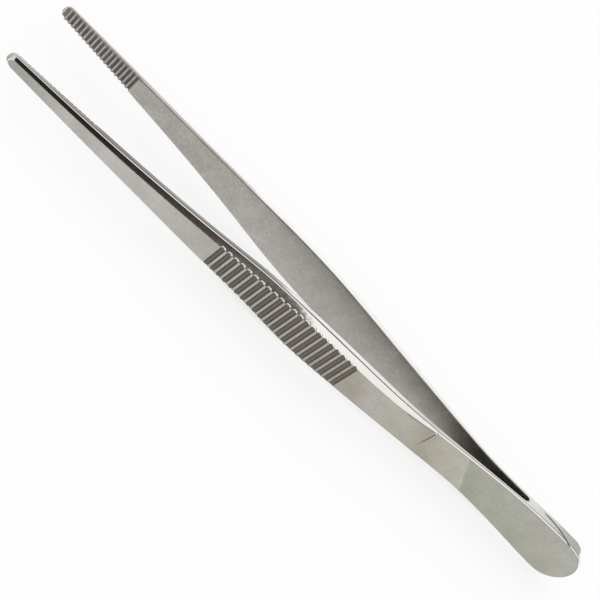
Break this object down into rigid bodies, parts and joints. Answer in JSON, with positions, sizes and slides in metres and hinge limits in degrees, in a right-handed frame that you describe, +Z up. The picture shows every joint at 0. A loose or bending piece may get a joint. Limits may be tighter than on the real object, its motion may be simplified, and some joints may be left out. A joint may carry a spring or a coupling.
{
  "type": "thumb_forceps",
  "caption": "Straight stainless thumb forceps, 145 mm long: two splayed spring legs welded at a round heel, grooved finger grips and cross-serrated blunt jaws.",
  "frame": {"origin": "centre of the bounding box in plan, on the plane the forceps lie on", "axes": "X runs along the length with the tips at +X and the heel at -X; Y is the direction in which the legs open, the front leg at +Y; Z is up, across the width of the legs"},
  "size_m": [0.145, 0.021, 0.0112],
  "materials": {
    "steel": "satin ground faces with polished edges and bevels"
  },
  "bodies": {
    "root": {"front_leg": "steel", "rear_leg": "steel"}
  },
  "joints": []
}
